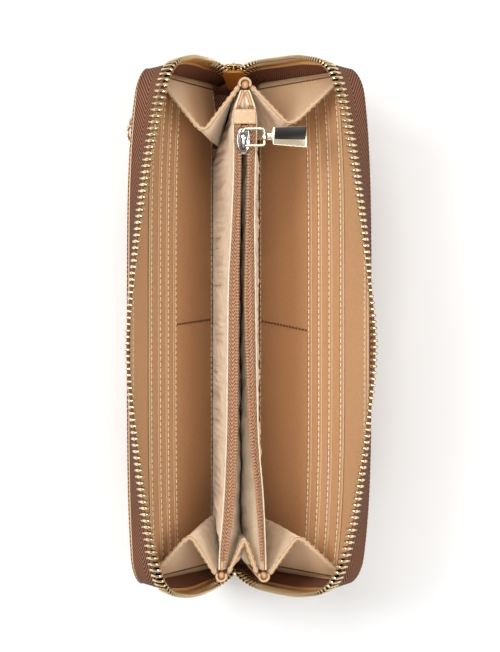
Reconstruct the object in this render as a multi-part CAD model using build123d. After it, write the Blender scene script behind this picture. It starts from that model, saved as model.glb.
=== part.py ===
from build123d import *
import math
import os

# Zip around wallet, standing open on its spine. Millimetres.
# +Z up, +Y along the length towards the main slider, +X to the right cover.
# The origin is the centre of the spine's resting face.

# overall sizes
LENGTH = 196.0
HEIGHT = 98.0
HINGE_X = 11.3
HINGE_Z = 1.5
OPEN_LEFT = 17.5
OPEN_RIGHT = 25.0
CORNER = 10.0

# cover layers, measured inwards from the outer face
OUTER = (0.0, 0.9)
BOARD = (0.95, 1.65)
LINING = (1.7, 2.2)
SLIP = (2.25, 2.7)
CARDS = ((2.75, 3.1), (3.15, 3.5), (3.55, 3.9))
COVER_FOOT = 1.7
SLIP_TOP = 79.5
CARD_TOPS = (70.0, 61.5, 53.0)

# main zip
TAPE_MID = 1.3
TAPE_THICK = 0.5
TAPE_FLANGE = 3.0
TAPE_WIDTH = 10.0
TOOTH_PITCH = 2.4
ZIP_FOOT = 28.0

# coin pouch
POUCH_TOP = 84.0
WALL = 0.8
COIN_TAPE_Z = 86.1
SLIDER_X = 3.7
SLIDER_Y = 71.0
POST_R = 2.0


def turn(side):
    """The angle that a cover stands open, in radians."""
    return math.radians(OPEN_LEFT if side < 0 else OPEN_RIGHT)


def on_cover(side, y, v, w):
    """A point at height v on a cover and w in from its outer face."""
    s, c = math.sin(turn(side)), math.cos(turn(side))
    return (side * (HINGE_X + v * s - w * c), y, HINGE_Z + v * c + w * s)


def cover_plane(side):
    s, c = math.sin(turn(side)), math.cos(turn(side))
    return Plane(
        origin=(side * HINGE_X, 0, HINGE_Z),
        x_dir=(0, -side, 0),
        z_dir=(-side * c, 0, s),
    )


def panel(side, half, low, high, layer, corner=0.0):
    """A flat layer of a cover, with its top corners rounded if asked."""
    face = Pos(0, (low + high) / 2) * Rectangle(2 * half, high - low)
    if corner:
        top = face.vertices().sort_by(Axis.Y)[-2:]
        face = fillet(top, corner)
    flat = extrude(face, layer[1] - layer[0])
    return cover_plane(side) * Pos(0, 0, layer[0]) * flat


def sheet(front, back):
    """Closes two matching grids of points into one thin solid."""
    faces = []

    def quad(a, b, c, d):
        faces.append(Face(Wire.make_polygon((a, b, c))))
        faces.append(Face(Wire.make_polygon((a, c, d))))

    rows, cols = len(front), len(front[0])
    for k in range(rows - 1):
        for i in range(cols - 1):
            quad(front[k][i], front[k][i + 1], front[k + 1][i + 1], front[k + 1][i])
            quad(back[k][i], back[k + 1][i], back[k + 1][i + 1], back[k][i + 1])
        quad(front[k][0], front[k + 1][0], back[k + 1][0], back[k][0])
        quad(front[k][-1], back[k][-1], back[k + 1][-1], front[k + 1][-1])
    for i in range(cols - 1):
        quad(front[0][i], back[0][i], back[0][i + 1], front[0][i + 1])
        quad(front[-1][i], front[-1][i + 1], back[-1][i + 1], back[-1][i])
    solid = Solid(Shell(faces))
    return solid if solid.volume > 0 else Solid(Shell([-f for f in faces]))


def shifted(grid, dx, dy, dz):
    return [[(x + dx, y + dy, z + dz) for x, y, z in row] for row in grid]


def blend(a, b, t):
    return tuple(p + (q - p) * t for p, q in zip(a, b))


# ---------------------------------------------------------------- spine


def spine_cover():
    return Pos(0, 0, 0.6) * Box(22.0, LENGTH - 2, 1.2)


def spine_board():
    return Pos(0, 0, 1.7) * Box(19.0, LENGTH - 6, 0.9)


def spine_lining():
    return Pos(0, 0, 2.5) * Box(17.0, LENGTH - 4, 0.6)


def hinge_strip(side):
    """Thin leather that bends between the spine and a cover."""
    a = (side * 11.4, 0.05)
    b = (side * 11.85, 0.6)
    c = on_cover(side, 0, COVER_FOOT - 0.5, 0.05)
    outer = [a, b, (c[0], c[2])]
    half = LENGTH / 2 - 1.5
    front = [[(x, y, z) for x, z in outer] for y in (-half, half)]
    back = shifted(front, -side * 0.35, 0, 0)
    return sheet(front, back)


# ---------------------------------------------------------------- pouch

LEFT_TOP = (
    (2.9, 90.0),
    (0.3, 80.0),
    (0.3, 61.0),
    (-0.5, 40.0),
    (-1.6, 18.0),
    (-1.9, 2.0),
    (-2.4, -40.0),
    (-3.5, -67.0),
    (-5.0, -86.0),
    (-5.3, -93.6),
)
RIGHT_TOP = (
    (5.7, 90.0),
    (8.3, 80.0),
    (7.9, 61.0),
    (7.6, 40.0),
    (7.9, 18.0),
    (8.1, 2.0),
    (9.0, -40.0),
    (11.0, -67.0),
    (11.8, -86.0),
    (12.0, -93.6),
)
LEFT_INNER = (
    (3.1, 84.5),
    (2.8, 80.0),
    (2.75, 61.0),
    (2.3, 40.0),
    (1.9, 18.0),
    (1.8, 2.0),
    (1.3, -40.0),
    (0.3, -67.0),
    (-2.2, -86.0),
    (-2.6, -90.0),
)
RIGHT_INNER = (
    (5.0, 84.5),
    (5.2, 80.0),
    (5.2, 61.0),
    (4.7, 40.0),
    (4.2, 18.0),
    (4.2, 2.0),
    (6.0, -40.0),
    (8.6, -67.0),
    (10.0, -86.0),
    (10.2, -90.0),
)
FOOT_LEFT = -6.6
FOOT_RIGHT = 7.2
PIPE_LEFT = [(x - 0.2, y) for x, y in LEFT_TOP]
PIPE_RIGHT = [(x + 0.2, y) for x, y in RIGHT_TOP]


def share(y):
    """How much of its full width the pouch's foot has at each station."""
    for limit, part in ((85, 0.35), (70, 0.75), (-80, 1.0), (-90, 0.7)):
        if y > limit:
            return part
    return 0.45


def pouch_wall(line, foot, thick):
    """A soft wall that fans out from the spine to its top edge."""
    rows = []
    for k in range(5):
        t = k / 4
        z = 2.9 + (POUCH_TOP - 2.9) * t
        row = []
        for x, y in line:
            base = 1.3 + (foot - 1.3) * share(y)
            row.append((base + (x - base) * t, y, z))
        rows.append(row)
    return sheet(rows, shifted(rows, thick, 0, 0))


def pouch_floor():
    return Pos(0.3, -5, 3.1) * Box(11.0, 128, 0.4)


def edge_strip(line, x0, x1, z0, z1):
    """A low strip that follows a line in plan."""
    low = [[(x + x0, y, z0) for x, y in line], [(x + x0, y, z1) for x, y in line]]
    return sheet(low, shifted(low, x1 - x0, 0, 0))


def pouch_piping():
    left = edge_strip(PIPE_LEFT, 0, 1.3, POUCH_TOP + 0.02, 86.0)
    right = edge_strip(PIPE_RIGHT, -1.3, 0, POUCH_TOP + 0.02, 86.0)
    return Compound([left, right])


def flat_tape(outer, inner):
    """Zip tape lying flat between two lines in plan."""
    low = [
        [(x, y, COIN_TAPE_Z) for x, y in outer],
        [(x, y, COIN_TAPE_Z) for x, y in inner],
    ]
    return sheet(low, shifted(low, 0, 0, 0.4))


def outer_line(line, inner, inset):
    """The tape's outer edge, at the same stations as its inner edge."""
    out = []
    for _, y in inner:
        for (x0, y0), (x1, y1) in zip(line, line[1:]):
            if y1 <= y <= y0:
                out.append((x0 + (x1 - x0) * (y - y0) / (y1 - y0) + inset, y))
                break
    return out


def coin_tapes():
    left = flat_tape(outer_line(PIPE_LEFT, LEFT_INNER, 0.1), LEFT_INNER)
    right = flat_tape(outer_line(PIPE_RIGHT, RIGHT_INNER, -0.1), RIGHT_INNER)
    return Compound([left, right])


def coin_coils():
    z0, z1 = COIN_TAPE_Z + 0.42, COIN_TAPE_Z + 1.35
    left = edge_strip(LEFT_INNER, -1.1, 0, z0, z1)
    right = edge_strip(RIGHT_INNER, 0, 1.1, z0, z1)
    keep = Pos(3, -12, 87) * Box(30, 156, 6)
    return Compound([left & keep, right & keep])


def coin_end_tab():
    return Pos(4.2, 80.2, 87.1) * Box(8.6, 5.6, 1.0)


def post(foot, top, radius=POST_R):
    """A folded leather binding, from the spine to the rim."""
    way = Vector(*top) - Vector(*foot)
    plane = Plane(origin=foot, z_dir=way.normalized())
    return extrude(plane * Circle(radius), way.length)


POST_FRONT = ((1.6, 92.6, 3.2), (4.3, 93.0, 86.0))
POST_LEFT = ((-2.2, -96.0, 3.2), (-4.8, -96.3, 86.0))
POST_RIGHT = ((4.9, -96.0, 3.2), (11.6, -96.3, 86.0))


def end_posts():
    return Compound([post(*p) for p in (POST_FRONT, POST_LEFT, POST_RIGHT)])


# ---------------------------------------------------------------- gussets


def divided(line, steps=4):
    """Extra points along a line, so that a twisted panel stays smooth."""
    out = [line[0]]
    for a, b in zip(line, line[1:]):
        out += [blend(a, b, k / steps) for k in range(1, steps + 1)]
    return out


def vee(points, gap, thick):
    """Two matching lines either side of a folded line in plan."""
    (ax, ay), (bx, by), (cx, cy) = points

    def side_of(off):
        u = Vector(bx - ax, by - ay).normalized()
        v = Vector(cx - bx, cy - by).normalized()
        n0 = Vector(-u.Y, u.X)
        n1 = Vector(-v.Y, v.X)
        m = (n0 + n1).normalized()
        k = off / max(m.dot(n0), 0.35)
        return [
            (ax + n0.X * off, ay + n0.Y * off),
            (bx + m.X * k, by + m.Y * k),
            (cx + n1.X * off, cy + n1.Y * off),
        ]

    return divided(side_of(gap)), divided(side_of(gap + thick))


def gusset(foot, top, gap, thick, z0=4.0, z1=84.0):
    """One layer of a folded end panel, from the spine up to its rim."""
    front, back = [], []
    for k in range(9):
        t = k / 8
        z = z0 + (z1 - z0) * t
        line = [blend(a, b, t) for a, b in zip(foot, top)]
        near, far = vee(line, gap, thick)
        front.append([(x, y, z) for x, y in near])
        back.append([(x, y, z) for x, y in far])
    return sheet(front, back)


GUSSETS = {
    "front_left": (
        ((-2.6, 91.6), (-7.4, 72.4), (-7.5, 96.6)),
        ((1.7, 92.0), (-11.9, 74.0), (-34.3, 96.6)),
        1,
    ),
    "front_right": (
        ((5.2, 91.4), (8.0, 75.0), (8.2, 96.6)),
        ((6.9, 92.0), (21.6, 76.6), (46.4, 96.6)),
        -1,
    ),
    "back_left": (
        ((-4.5, -94.9), (-7.4, -75.0), (-7.6, -96.6)),
        ((-7.4, -95.6), (-16.9, -80.0), (-34.3, -96.6)),
        -1,
    ),
    "back_right": (
        ((7.0, -94.8), (8.0, -76.0), (8.6, -96.8)),
        ((14.2, -95.6), (24.7, -80.3), (46.4, -96.6)),
        1,
    ),
    "pouch": (
        ((-0.8, -93.2), (1.0, -84.0), (2.0, -93.2)),
        ((-2.0, -94.8), (4.2, -81.5), (8.8, -94.8)),
        1,
    ),
}


def gusset_leather(name):
    foot, top, sign = GUSSETS[name]
    return gusset(foot, top, 0.02 * outward(name), 0.5 * outward(name))


def gusset_satin(name):
    foot, top, sign = GUSSETS[name]
    return gusset(foot, top, -0.02 * outward(name), -0.5 * outward(name))


def outward(name):
    """Which side of the line, walked left to right, faces the open end."""
    foot, top, _ = GUSSETS[name]
    left_to_right = top[-1][0] > top[0][0]
    faces_front = name.startswith("front")
    return 1 if left_to_right == faces_front else -1


# ---------------------------------------------------------------- main zip


def rim(side):
    """Stations along a cover's edge: y, v and the way out of the edge."""
    half, top = LENGTH / 2, HEIGHT
    out = []
    for k in range(6):
        v = ZIP_FOOT + (top - CORNER - ZIP_FOOT) * k / 5
        out.append((half, v, (1.0, 0.0)))
    for k in range(1, 6):
        a = math.radians(15 * k)
        y = half - CORNER + CORNER * math.cos(a)
        v = top - CORNER + CORNER * math.sin(a)
        out.append((y, v, (math.cos(a), math.sin(a))))
    for k in range(15):
        y = (half - CORNER) * (1 - 2 * k / 14)
        out.append((y, top, (0.0, 1.0)))
    back = [(-y, v, (-n[0], n[1])) for y, v, n in out[:11]]
    return out + back[::-1]


def lean(y, v):
    """How far the zip tape folds in from the cover's own plane, in radians."""
    t = min(abs(y + 8) / 95, 1.0)
    long_side = 15 + 60 * t**1.25
    down = min(max((HEIGHT - CORNER - v) / 22, 0), 1)
    return math.radians(long_side + (48 - long_side) * down)


def free_end(side, end):
    """The loose run of tape from the cover's edge to the zip's end."""
    if end > 0:
        fold = (side * 11.4, 103.4, 16.2)
        tip = (side * 2.1 - 0.5, 103.4, 16.2)
    else:
        fold = (side * 9.0, -97.6, 9.0)
        tip = (side * 0.9, -101.0, 16.0)
    return fold, tip


def zip_sections(side):
    """For each station: the tape's hidden edge, its fold and its tip."""
    sections = []
    for y, v, n in rim(side):
        a = lean(y, v)
        fold = (y, v, TAPE_MID)
        hidden = (y - n[0] * TAPE_FLANGE, v - n[1] * TAPE_FLANGE, TAPE_MID)
        tip = (
            y + TAPE_WIDTH * math.cos(a) * n[0],
            v + TAPE_WIDTH * math.cos(a) * n[1],
            TAPE_MID + TAPE_WIDTH * math.sin(a),
        )
        sections.append([on_cover(side, *p) for p in (hidden, fold, tip)])
    for end in (1, -1):
        first = sections[0] if end > 0 else sections[-1]
        fold, tip = free_end(side, end)
        run = []
        for t in (0.03, 0.34, 0.67, 1.0):
            f = blend(first[1], fold, t)
            f = (f[0], f[1] + end * 0.3, f[2])
            p = blend(first[2], tip, t)
            h = blend(p, f, 1.03)
            run.append([h, f, p])
        sections = run[::-1] + sections if end > 0 else sections + run
    return sections


def zip_tape(side):
    front, back = [], []
    sections = zip_sections(side)
    for k, (h, f, p) in enumerate(sections):
        before = sections[max(k - 1, 0)]
        after = sections[min(k + 1, len(sections) - 1)]
        along = (Vector(*after[1]) - Vector(*before[1])).normalized()
        n_out = along.cross(Vector(*f) - Vector(*h)).normalized()
        n_in = along.cross(Vector(*p) - Vector(*f)).normalized()
        n_mid = (n_out + n_in).normalized()
        row = []
        for point, n in ((h, n_out), (f, n_mid), (p, n_in)):
            row.append((Vector(*point), n))
        front.append([tuple(q + n * (TAPE_THICK / 2)) for q, n in row])
        back.append([tuple(q - n * (TAPE_THICK / 2)) for q, n in row])
    return sheet(front, back)


def tooth():
    """One zip tooth, its two legs astride the tape's edge. X is outwards."""
    outline = Polyline(
        (-1.5, 0.5),
        (-1.5, 1.0),
        (1.3, 1.0),
        (3.1, 0.6),
        (3.1, -0.6),
        (1.3, -1.0),
        (-1.5, -1.0),
        (-1.5, -0.5),
        (0.4, -0.5),
        (0.4, 0.5),
        close=True,
    )
    return extrude(make_face(outline), 0.55, both=True)


def zip_teeth(side):
    sections = zip_sections(side)[3:-2]
    runs = [0.0]
    for a, b in zip(sections, sections[1:]):
        runs.append(runs[-1] + (Vector(*b[2]) - Vector(*a[2])).length)
    count = int(runs[-1] / TOOTH_PITCH)
    shape = tooth()
    out = []
    k = 0
    for i in range(count):
        s = (i + 0.5) * TOOTH_PITCH
        while runs[k + 1] < s:
            k += 1
        t = (s - runs[k]) / (runs[k + 1] - runs[k])
        fold = Vector(*blend(sections[k][1], sections[k + 1][1], t))
        tip = Vector(*blend(sections[k][2], sections[k + 1][2], t))
        along = Vector(*sections[k + 1][2]) - Vector(*sections[k][2])
        out_way = (tip - fold).normalized()
        plane = Plane(origin=tip, x_dir=out_way, z_dir=along.cross(out_way).cross(out_way))
        out.append(plane * shape)
    return Compound(out)


def tail_tape():
    """The zip's two closed ends, fixed to the spine."""
    front_end = sheet(
        [
            [(-5.6, 95.3, 3.6), (4.6, 95.3, 3.6)],
            [(-5.6, 98.3, 8.6), (4.6, 98.3, 8.6)],
            [(-5.6, 100.9, 12.8), (4.6, 100.9, 12.8)],
        ],
        [
            [(-5.6, 95.9, 3.6), (4.6, 95.9, 3.6)],
            [(-5.6, 98.9, 8.6), (4.6, 98.9, 8.6)],
            [(-5.6, 101.5, 12.8), (4.6, 101.5, 12.8)],
        ],
    )
    back_end = sheet(
        [
            [(-8.0, -98.2, 3.6), (8.0, -98.2, 3.6)],
            [(-8.0, -99.4, 7.6), (8.0, -99.4, 7.6)],
        ],
        [
            [(-8.0, -98.7, 3.6), (8.0, -98.7, 3.6)],
            [(-8.0, -99.9, 7.6), (8.0, -99.9, 7.6)],
        ],
    )
    return Compound([front_end, back_end])


def bottom_stop():
    return Pos(0, -101.0, 12.0) * Box(4.4, 1.6, 3.6)


# ---------------------------------------------------------------- sliders

MAIN_LEAN = 32.0
MAIN_AT = (-0.5, 98.6, 8.6)


def main_plane():
    """Runs up the zip: local Y is the way the slider travels."""
    a = math.radians(MAIN_LEAN)
    return Plane(
        origin=MAIN_AT,
        x_dir=(-1, 0, 0),
        z_dir=(0, math.cos(a), -math.sin(a)),
    )


def shield(scale=1.0):
    outline = Polyline(
        (-2.9, 0),
        (-3.3, 4.5),
        (-4.6, 11.0),
        (-2.6, 12.0),
        (2.6, 12.0),
        (4.6, 11.0),
        (3.3, 4.5),
        (2.9, 0),
        close=True,
    )
    return make_face(outline)


def main_slider_body():
    inner = extrude(Pos(0, 0, -2.2) * shield(), 0.9)
    outer = extrude(Pos(0, 0, 1.3) * shield(), 0.9)
    wedge = Polyline((-1.3, 8.4), (0, 6.6), (1.3, 8.4), (0, 11.4), close=True)
    core = extrude(Pos(0, 0, -1.5) * make_face(wedge), 3.0)
    return main_plane() * (inner + outer + core)


def main_slider_bridge():
    beam = Pos(0, 5.6, 4.9) * Box(1.6, 8.4, 1.0)
    legs = Pos(0, 2.0, 3.3) * Box(1.6, 1.2, 2.2) + Pos(0, 9.2, 3.3) * Box(1.6, 1.2, 2.2)
    return main_plane() * (beam + legs)


def pull_axis():
    """The point that the main pull hangs from."""
    return main_plane().from_local_coords(Vector(0, 7.9, 3.4))


def main_pull():
    at = pull_axis()
    bar = Rot(0, 90, 0) * Cylinder(0.55, 5.6)
    arms = Pos(-2.45, 0, -2.6) * Box(0.9, 0.9, 5.2)
    arms += Pos(2.45, 0, -2.6) * Box(0.9, 0.9, 5.2)
    plate = Pos(0, 0.75, -8.2) * Box(5.8, 1.2, 7.6)
    return Pos(*at) * (bar + arms + plate)


# axis of the coin slider's travel, which drifts a little to the left
COIN_WAY = (-0.009, -1.0, 0.0)


def coin_plane():
    way = Vector(*COIN_WAY).normalized()
    return Plane(
        origin=(SLIDER_X, SLIDER_Y, 0), x_dir=(way.Y * -1, way.X, 0), z_dir=(0, 0, 1)
    )


def coin_slider_body():
    outline = Polyline(
        (-2.6, -4.0), (-1.7, -5.0), (1.7, -5.0), (2.6, -4.0), (2.0, 4.6), (-2.0, 4.6),
        close=True,
    )
    shape = make_face(outline)
    top = extrude(Pos(0, 0, 87.75) * shape, 0.8)
    under = extrude(Pos(0, 0, 84.9) * scale(shape, (0.75, 1, 1)), 0.8)
    core = Pos(0, -3.2, 86.7) * Box(0.9, 1.8, 2.3)
    lug = Pos(0, 1.2, 89.6) * Box(2.6, 1.8, 2.4)
    hole = Pos(0, 1.2, 89.8) * Rot(90, 0, 0) * Cylinder(0.6, 4)
    return coin_plane() * (top + under + core + lug - hole)


BAIL_Z = 89.8
BAIL_Y = SLIDER_Y + 1.2
BAIL_END = 8.0


def coin_bail():
    """A wire loop through the slider's lug, lying to the right."""
    r = 0.55
    x0, x1 = SLIDER_X, SLIDER_X + BAIL_END
    rod = Pos(x0, BAIL_Y, BAIL_Z) * Rot(90, 0, 0) * Cylinder(r, 6.4)
    arm = Rot(0, 90, 0) * Cylinder(r, BAIL_END + 2 * r)
    a = Pos((x0 + x1) / 2, BAIL_Y + 3.2, BAIL_Z) * arm
    b = Pos((x0 + x1) / 2, BAIL_Y - 3.2, BAIL_Z) * arm
    far = Pos(x1, BAIL_Y, BAIL_Z) * Rot(90, 0, 0) * Cylinder(r, 6.4)
    return rod + a + b + far


def coin_pull():
    """A slim plate that swings on the bail's far bar."""
    x1 = SLIDER_X + BAIL_END
    eye = Rot(90, 0, 0) * (Cylinder(1.15, 3.0) - Cylinder(0.6, 3.0))
    neck = Pos(2.2, 0, 0) * Box(2.6, 3.0, 1.2)
    plate = Pos(10.2, 0, 0) * Box(13.6, 8.2, 1.4)
    plate = fillet(plate.edges().filter_by(Axis.Z), 1.2)
    return Pos(x1, BAIL_Y, BAIL_Z) * (eye + neck + plate)


# ---------------------------------------------------------------- side ring

RING_V = 89.0


def tab_leather():
    flap = Pos(80.6, RING_V) * Rectangle(6.0, 5.0)
    return cover_plane(-1) * extrude(Pos(0, 0, -0.75) * flap, 0.7)


def tab_loop():
    """A small eye on the tab that the ring passes through."""
    eye = Rot(90, 0, 0) * (Cylinder(1.35, 1.1) - Cylinder(0.75, 1.1))
    return cover_plane(-1) * Pos(76.2, RING_V, -1.75) * eye


def side_ring():
    loop = Torus(2.4, 0.5)
    return cover_plane(-1) * Pos(73.8, RING_V, -1.75) * loop


def side_clasp():
    """A small flat charm hung on the ring."""
    outline = Polyline((-1.9, 1.3), (1.9, 1.3), (0, -3.2), close=True)
    face = fillet(make_face(outline).vertices(), 0.4)
    plate = extrude(face, 0.35, both=True)
    hole = Cylinder(0.9, 3)
    flat = plate - hole
    upright = Plane(origin=(0, 0, 0), x_dir=(0, 0, 1), z_dir=(0, 1, 0))
    return cover_plane(-1) * Pos(71.4, RING_V, -1.75) * (upright.location * flat)


# ---------------------------------------------------------------- write


def cover(side, word):
    half = LENGTH / 2
    parts = {
        "outer_" + word: panel(side, half, COVER_FOOT, HEIGHT, OUTER, CORNER),
        "board_" + word: panel(side, half - 9, COVER_FOOT + 0.6, HEIGHT - 9, BOARD, 4),
        "lining_" + word: panel(side, half - 0.4, COVER_FOOT + 0.2, HEIGHT - 0.4, LINING, CORNER - 0.4),
        "slip_pocket_" + word: panel(side, half - 2, 2.6, SLIP_TOP, SLIP),
        "zip_tape_" + word: zip_tape(side),
        "zip_teeth_" + word: zip_teeth(side),
        "hinge_" + word: hinge_strip(side),
    }
    for k, top in enumerate(CARD_TOPS):
        name = "card_pocket_%d_%s" % (3 - k, word)
        parts[name] = panel(side, half - 14.0, 8.0 - 2 * k, top, CARDS[k])
    return parts


def everything():
    parts = {
        "spine_cover": spine_cover(),
        "spine_board": spine_board(),
        "spine_lining": spine_lining(),
        "pouch_wall_left": pouch_wall(LEFT_TOP, FOOT_LEFT, WALL),
        "pouch_wall_right": pouch_wall(RIGHT_TOP, FOOT_RIGHT, -WALL),
        "pouch_floor": pouch_floor(),
        "pouch_piping": pouch_piping(),
        "coin_zip_tape": coin_tapes(),
        "coin_zip_coil": coin_coils(),
        "coin_end_tab": coin_end_tab(),
        "end_posts": end_posts(),
        "zip_tail": tail_tape(),
        "zip_bottom_stop": bottom_stop(),
        "main_slider_body": main_slider_body(),
        "main_slider_bridge": main_slider_bridge(),
        "main_pull": main_pull(),
        "coin_slider_body": coin_slider_body(),
        "coin_bail": coin_bail(),
        "coin_pull": coin_pull(),
        "side_tab": tab_leather(),
        "side_tab_eye": tab_loop(),
        "side_ring": side_ring(),
        "side_clasp": side_clasp(),
    }
    parts.update(cover(-1, "left"))
    parts.update(cover(1, "right"))
    for name in GUSSETS:
        parts["gusset_leather_" + name] = gusset_leather(name)
        parts["gusset_satin_" + name] = gusset_satin(name)
    return parts


os.makedirs("parts", exist_ok=True)
for node, shape in everything().items():
    export_step(shape, "parts/" + node + ".step")
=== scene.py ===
import math

import bpy
import numpy as np
from mathutils import Matrix, Vector


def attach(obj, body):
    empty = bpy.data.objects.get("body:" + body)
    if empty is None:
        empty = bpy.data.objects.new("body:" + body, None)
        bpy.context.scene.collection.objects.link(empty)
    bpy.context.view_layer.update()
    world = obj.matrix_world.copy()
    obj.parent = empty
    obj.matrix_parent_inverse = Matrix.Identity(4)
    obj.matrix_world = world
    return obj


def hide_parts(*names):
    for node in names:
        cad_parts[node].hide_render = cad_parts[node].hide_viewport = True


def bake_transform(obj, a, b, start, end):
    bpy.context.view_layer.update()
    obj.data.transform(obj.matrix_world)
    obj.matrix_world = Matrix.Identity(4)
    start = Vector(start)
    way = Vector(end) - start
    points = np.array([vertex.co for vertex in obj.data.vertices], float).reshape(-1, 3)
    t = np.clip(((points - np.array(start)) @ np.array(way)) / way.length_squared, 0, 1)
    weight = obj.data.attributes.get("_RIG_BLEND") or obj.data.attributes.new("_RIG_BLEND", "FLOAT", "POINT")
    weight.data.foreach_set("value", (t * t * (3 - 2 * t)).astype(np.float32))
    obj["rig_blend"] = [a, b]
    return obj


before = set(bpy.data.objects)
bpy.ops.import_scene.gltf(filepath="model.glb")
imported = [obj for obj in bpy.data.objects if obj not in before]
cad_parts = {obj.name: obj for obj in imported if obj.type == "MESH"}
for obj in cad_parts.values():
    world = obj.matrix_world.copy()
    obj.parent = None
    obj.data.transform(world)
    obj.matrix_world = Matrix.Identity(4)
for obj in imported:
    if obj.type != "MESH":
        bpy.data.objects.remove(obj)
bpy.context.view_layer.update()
MM = 0.001

# ---- sizes, mm

HALF = 98.0
TOP = 98.0
HINGE_X, HINGE_Z = 11.3, 1.5
OPEN = {-1: math.radians(17.5), 1: math.radians(25.0)}
WORD = {-1: "left", 1: "right"}
CORNER = 10.0
# how far each cover's ends bow inwards: main slider end, other end
BOW = {-1: (5.0, 2.5), 1: (4.5, 5.0)}
SLIP_TOP = 79.5
CARD_TOPS = (70.0, 61.5, 53.0)
TAPE_W = 10.0
ZIP_FOOT = 46.0
TOOTH_PITCH = 2.4
SEAM_PITCH = 2.4
POCKET_PITCH = 2.3
GUSSET_TOP = 84.0
SLIDER_LEAN = math.radians(32)


def bow(side, y, v):
    most = BOW[side][0 if y > 0 else 1]
    return most * (min(abs(y), 100) / 98) ** 4 * max(v, 0) / 98


def on_cover(side, y, v, w):
    """A place on a cover: y along it, v up from the hinge, w in from its outer face."""
    s, c = math.sin(OPEN[side]), math.cos(OPEN[side])
    w = w + bow(side, y, v)
    long = 1 + 0.02 * (1 - min(v, 98) / 98)
    return Vector((side * (HINGE_X + v * s - w * c), y * long, HINGE_Z + v * c + w * s))


# ---- materials


def shader(m):
    return m.node_tree.nodes["Principled BSDF"]


def fill_in(item, values):
    for name, value in values.items():
        item.inputs[name].default_value = value


def principled(name, colour, rough=0.5, metal=0.0, sheen=0.0, coat=0.0):
    m = bpy.data.materials.new(name)
    m.use_nodes = True
    fill_in(shader(m), {"Base Color": (*colour, 1), "Roughness": rough, "Metallic": metal})
    fill_in(shader(m), {"Sheen Weight": sheen, "Coat Weight": coat})
    return m


def relief(m, height, strength, distance):
    t = m.node_tree
    bump = t.nodes.new("ShaderNodeBump")
    fill_in(bump, {"Strength": strength, "Distance": distance})
    t.links.new(height, bump.inputs["Height"])
    t.links.new(bump.outputs["Normal"], shader(m).inputs["Normal"])


def noise_bump(m, scale, strength, distance=0.0002, detail=4.0, stretch=None):
    """Fine surface relief from noise on the piece's own coordinates. Returns the noise."""
    t = m.node_tree
    spot = t.nodes.new("ShaderNodeTexCoord").outputs["Object"]
    noise = t.nodes.new("ShaderNodeTexNoise")
    fill_in(noise, {"Scale": scale, "Detail": detail})
    if stretch:
        mapping = t.nodes.new("ShaderNodeMapping")
        mapping.inputs["Scale"].default_value = stretch
        t.links.new(spot, mapping.inputs["Vector"])
        spot = mapping.outputs["Vector"]
    t.links.new(spot, noise.inputs["Vector"])
    relief(m, noise.outputs["Fac"], strength, distance)
    return noise.outputs["Fac"]


def two_tone(m, factor, dark, light):
    t = m.node_tree
    mix = t.nodes.new("ShaderNodeMix")
    mix.data_type = "RGBA"
    fill_in(mix, {"A": (*dark, 1), "B": (*light, 1)})
    t.links.new(factor, mix.inputs["Factor"])
    t.links.new(mix.outputs["Result"], shader(m).inputs["Base Color"])


def mottled(name, colour, rough, grain, dark, light, **more):
    """A finish whose colour and relief both follow one noise."""
    m = principled(name, colour, rough, **more)
    two_tone(m, noise_bump(m, *grain), dark, light)
    return m


def fine(name, colour, rough, scale, strength, **more):
    """An even finish with a trace of relief."""
    m = principled(name, colour, rough, **more)
    noise_bump(m, scale, strength)
    return m


def herringbone(name, colour, rough, dark, light, rib, width):
    """Twill ribs that meet in a vee along the middle of a tape, from its own UV in mm."""
    m = principled(name, colour, rough)
    fill_in(shader(m), {"Specular IOR Level": 0.15})
    t = m.node_tree

    def maths(kind, *values):
        n = t.nodes.new("ShaderNodeMath")
        n.operation = kind
        for i, v in enumerate(values):
            if isinstance(v, (int, float)):
                n.inputs[i].default_value = v
            else:
                t.links.new(v, n.inputs[i])
        return n.outputs[0]

    part = t.nodes.new("ShaderNodeSeparateXYZ")
    t.links.new(t.nodes.new("ShaderNodeUVMap").outputs["UV"], part.inputs["Vector"])
    fold = maths("ABSOLUTE", maths("SUBTRACT", part.outputs["X"], width / 2))
    run = maths("ADD", part.outputs["Y"], maths("MULTIPLY", fold, 1.6))
    wave = maths("SINE", maths("MULTIPLY", run, 2 * math.pi / rib))
    wave = maths("ADD", maths("MULTIPLY", wave, 0.5), 0.5)
    yarn = maths("SINE", maths("MULTIPLY", part.outputs["X"], 2 * math.pi / 0.55))
    wave = maths("ADD", maths("MULTIPLY", wave, 0.8), maths("MULTIPLY", yarn, 0.12))
    two_tone(m, wave, dark, light)
    relief(m, wave, 0.7, 0.0002)
    return m


SOFT = (900, 0.15, 0.0001, 8.0)
smooth_leather = mottled(
    "smooth_leather", (0.42, 0.235, 0.115), 0.38, SOFT, (0.52, 0.285, 0.138), (0.69, 0.415, 0.225)
)
# Gusset leather: a lit copy of the leather, its colour painted lighter to stand in for light on these
# upright walls, which lie in shade.
gusset_lit_leather = mottled(
    "gusset_leather", (0.80, 0.53, 0.31), 0.4, SOFT, (0.74, 0.47, 0.265), (0.88, 0.61, 0.37)
)
grain_leather = mottled(
    "grain_leather", (0.50, 0.31, 0.17), 0.5, (1100, 0.7, 0.0003, 6.0),
    (0.27, 0.150, 0.075), (0.42, 0.255, 0.140)
)
edge_leather = mottled(
    "edge_leather", (0.74, 0.50, 0.29), 0.4, (1500, 0.3, 0.0002, 5.0),
    (0.46, 0.285, 0.150), (0.67, 0.445, 0.260)
)
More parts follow.
